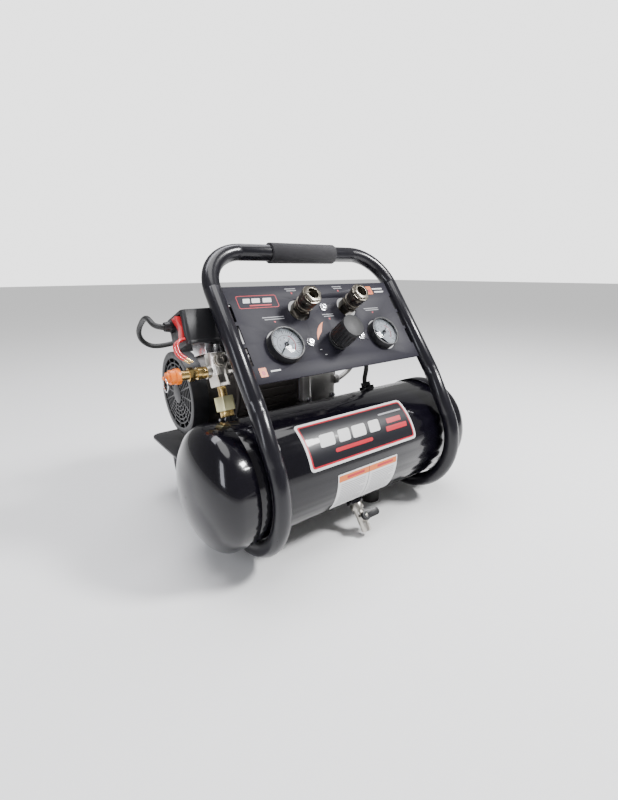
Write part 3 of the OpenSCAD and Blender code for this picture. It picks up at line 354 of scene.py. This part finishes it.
def dial(side, joint):
    """Ticks, figures and a red band on the dial, which reads from the lower left to the lower right."""
    pivot = Vector(JOINTS[joint]["pos_m"])
    reach = 18.0

    def place(x, y, lift):
        return pivot + X * x * MM + PANEL_V * y * MM + PANEL_N * lift * MM

    verts, faces = [], []
    turn, marks = 270, 30
    for i in range(marks + 1):
        a = math.radians(225 - turn * i / marks)
        long = i % 5 == 0
        inner, outer, half = (reach - 5 if long else reach - 3.2), reach - 0.6, (0.32 if long else 0.16)
        base = len(verts)
        for r, s in ((inner, -1), (outer, -1), (outer, 1), (inner, 1)):
            verts.append(place(r * math.cos(a) - s * half * math.sin(a),
                               r * math.sin(a) + s * half * math.cos(a), 0.05))
        faces.append((base, base + 1, base + 2, base + 3))
    mesh_piece(f"dial_ticks_{side}", verts, faces, MATERIALS["black_ink"])
    ring_band(f"dial_red_{side}", place, 0, 0, reach - 7.2, reach - 6.2, 60, -45, 0.05, MATERIALS["red_ink"])
    ring_band(f"dial_green_{side}", place, 0, 0, reach - 7.2, reach - 6.6, 225, 60, 0.05,
              MATERIALS["grey_ink"])
    for i in range(7):
        a = math.radians(225 - 45 * i)
        text = bpy.data.curves.new(f"figure_{side}_{i}", "FONT")
        text.body = str(2 * i)
        text.size = 3.6 * MM
        text.align_x = text.align_y = "CENTER"
        obj = bpy.data.objects.new(f"figure_{side}_{i}", text)
        spot = place((reach - 9.8) * math.cos(a), (reach - 9.8) * math.sin(a), 0.06)
        obj.matrix_world = on_axis(spot, PANEL_N)
        obj.data.materials.append(MATERIALS["black_ink"])
        bpy.context.scene.collection.objects.link(obj)
        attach(obj, ROOT)


# ---------------------------------------------------------------- printing on the panel and the tank

def caption(name, u, v, wide):
    """A small printed caption: two grey lines, and a red arrowhead below them."""
    for i, (w, shift) in enumerate(((wide, 0), (wide * 0.92, 1.0))):
        rounded(f"{name}_line_{i}", panel_at, u + shift, v - 2.8 * i, w, 1.1, 0.3, 0.08,
                MATERIALS["grey_ink"])
    tip = [panel_at(u + x, v - 8 + y, 0.08) for x, y in ((-1.6, 2.4), (1.6, 2.4), (0, 0))]
    mesh_piece(f"{name}_arrow", tip, [(0, 2, 1)], MATERIALS["red_ink"])


def panel_print():
    rounded("badge_field", panel_at, -92, 62, 54, 17, 2.5, 0.06, MATERIALS["red_ink"])
    rounded("badge_inner", panel_at, -92, 62, 52.6, 15.6, 2.2, 0.10, MATERIALS["panel_paint"])
    for i, (u, w) in enumerate(((-107, 9), (-94.5, 11), (-79, 12))):
        rounded(f"badge_bar_{i}", panel_at, u, 63.5, w, 6, 0.8, 0.14, MATERIALS["white_ink"], slant=0.25)
    rounded("badge_rule", panel_at, -90, 57, 30, 1.6, 0.5, 0.14, MATERIALS["red_ink"])
    caption("caption_gauge_left", -80, 40, 30)
    caption("caption_gauge_right", 81.5, 42, 27)
    caption("caption_coupler_left", -40, 78, 16)
    caption("caption_coupler_right", 36.5, 79, 16)
    caption("caption_knob", 2, 38, 18)
    ring_band("knob_arc", panel_at, 0, 0, 24, 30, 112, 172, 0.08, MATERIALS["orange_ink"], taper=0.96)
    for i, (u, v) in enumerate(((-27, -17), (-31.5, -9.5))):
        rounded(f"knob_mark_{i}", panel_at, u, v, 3.2, 0.9, 0.3, 0.08, MATERIALS["white_ink"])
    rounded("chip_right", panel_at, 94, 71, 11, 13, 1, 0.06, MATERIALS["orange_ink"])
    rounded("chip_right_mark", panel_at, 94.5, 69.5, 5, 6, 2.4, 0.10, MATERIALS["red_ink"])
    for i in range(2):
        rounded(f"chip_right_line_{i}", panel_at, 111 + i, 73 - 5 * i, 20 - 2 * i, 2, 0.5, 0.08,
                MATERIALS["white_ink"])
    rounded("chip_left", panel_at, -120, -27, 9, 11, 1, 0.06, MATERIALS["orange_ink"])
    rounded("chip_left_mark", panel_at, -120, -28, 4.5, 5.5, 2.2, 0.10, MATERIALS["red_ink"])
    rounded("chip_left_line", panel_at, -104, -27, 13, 1.8, 0.5, 0.08, MATERIALS["white_ink"])


def tank_print():
    """A large plain label and a smaller notice below it, with blank bars where a maker's words would be."""
    arc_mm = TANK_R / MM * math.pi / 180
    big = tank_decal(-6, 39)
    w, h = 176, 47.2 * arc_mm
    rounded("label_border", big, 0, 0, w, h, 5, 0.08, MATERIALS["white_ink"])
    rounded("label_rim", big, 0, 0, w - 6, h - 6, 3.4, 0.13, MATERIALS["red_ink"])
    rounded("label_field", big, 0, 0, w - 10, h - 10, 2.4, 0.18, MATERIALS["black_ink"])
    for i, (x, bar) in enumerate(((-54, 22), (-28, 18), (-4, 22), (22, 18))):
        rounded(f"label_bar_{i}", big, x, 2, bar, 15, 2.5, 0.23, MATERIALS["white_ink"], slant=0.22)
    rounded("label_under", big, -18, -13, 60, 4.5, 2, 0.23, MATERIALS["red_ink"], slant=0.2)
    rounded("label_word", big, 58, 14, 42, 2.2, 0.8, 0.23, MATERIALS["grey_ink"])
    for i in range(2):
        rounded(f"label_side_{i}", big, 58, 3 - 10 * i, 38 - 12 * (1 - i), 6.5, 1, 0.23,
                MATERIALS["red_ink"], slant=0.2)
    low = tank_decal(-7, -17.5)
    w, h = 100, 45 * arc_mm
    rounded("notice_field", low, 0, 0, w, h, 1.2, 0.08, MATERIALS["white_ink"])
    rounded("notice_head", low, 0, h / 2 - 6, w - 3, 8, 0.8, 0.13, MATERIALS["orange_ink"])
    rounded("notice_fold", low, 0, 0, 0.7, h - 3, 0.2, 0.17, MATERIALS["black_ink"])
    for side in (-1, 1):
        rounded(f"notice_title_{side + 1}", low, side * w / 4 + 3, h / 2 - 6, 28, 3.2, 0.6, 0.17,
                MATERIALS["red_ink"])
        for i in range(14):
            short = 8 if i % 5 == 4 else 0
            rounded(f"notice_line_{side + 1}_{i}", low, side * w / 4 - short / 2, h / 2 - 14 - 2.7 * i,
                    40 - short, 0.8, 0.2, 0.15, MATERIALS["grey_ink"])


# ---------------------------------------------------------------- small parts with no solid of their own

RISER_B = Vector(JOINTS["power_switch"]["axis"])
RISER_S = X.cross(RISER_B)
ROCKER = Vector(JOINTS["power_switch"]["pos_m"])


def rocker_at(x, b, s):
    """A point from the rocker's axis: x to the right, b to the rear, s up the riser, in millimetres."""
    return ROCKER + (X * x + RISER_B * b + RISER_S * s) * MM


def leads():
    """Two red leads looping from the switch's left side down to brass ends."""
    for i, b in enumerate((-7.5, 1.5)):
        route = smooth_route([rocker_at(-3.9, b, -13), rocker_at(-10, b, -14), rocker_at(-15, b - 2, -20),
                              rocker_at(-14, b - 3, -29), rocker_at(-8, b - 3, -35)])
        sweep(f"red_lead_{i}", route, 1.7, MATERIALS["red_plastic"])
        end = [rocker_at(-8, b - 3, -35), rocker_at(-4, b - 3, -38), rocker_at(-2, b - 3, -39.5)]
        sweep(f"lead_end_{i}", end, 1.3, MATERIALS["brass"])


# ---------------------------------------------------------------- the script itself

camera()
dress_frame()
studio()
dial("left", "tank_gauge")
dial("right", "outlet_gauge")
panel_print()
tank_print()
leads()
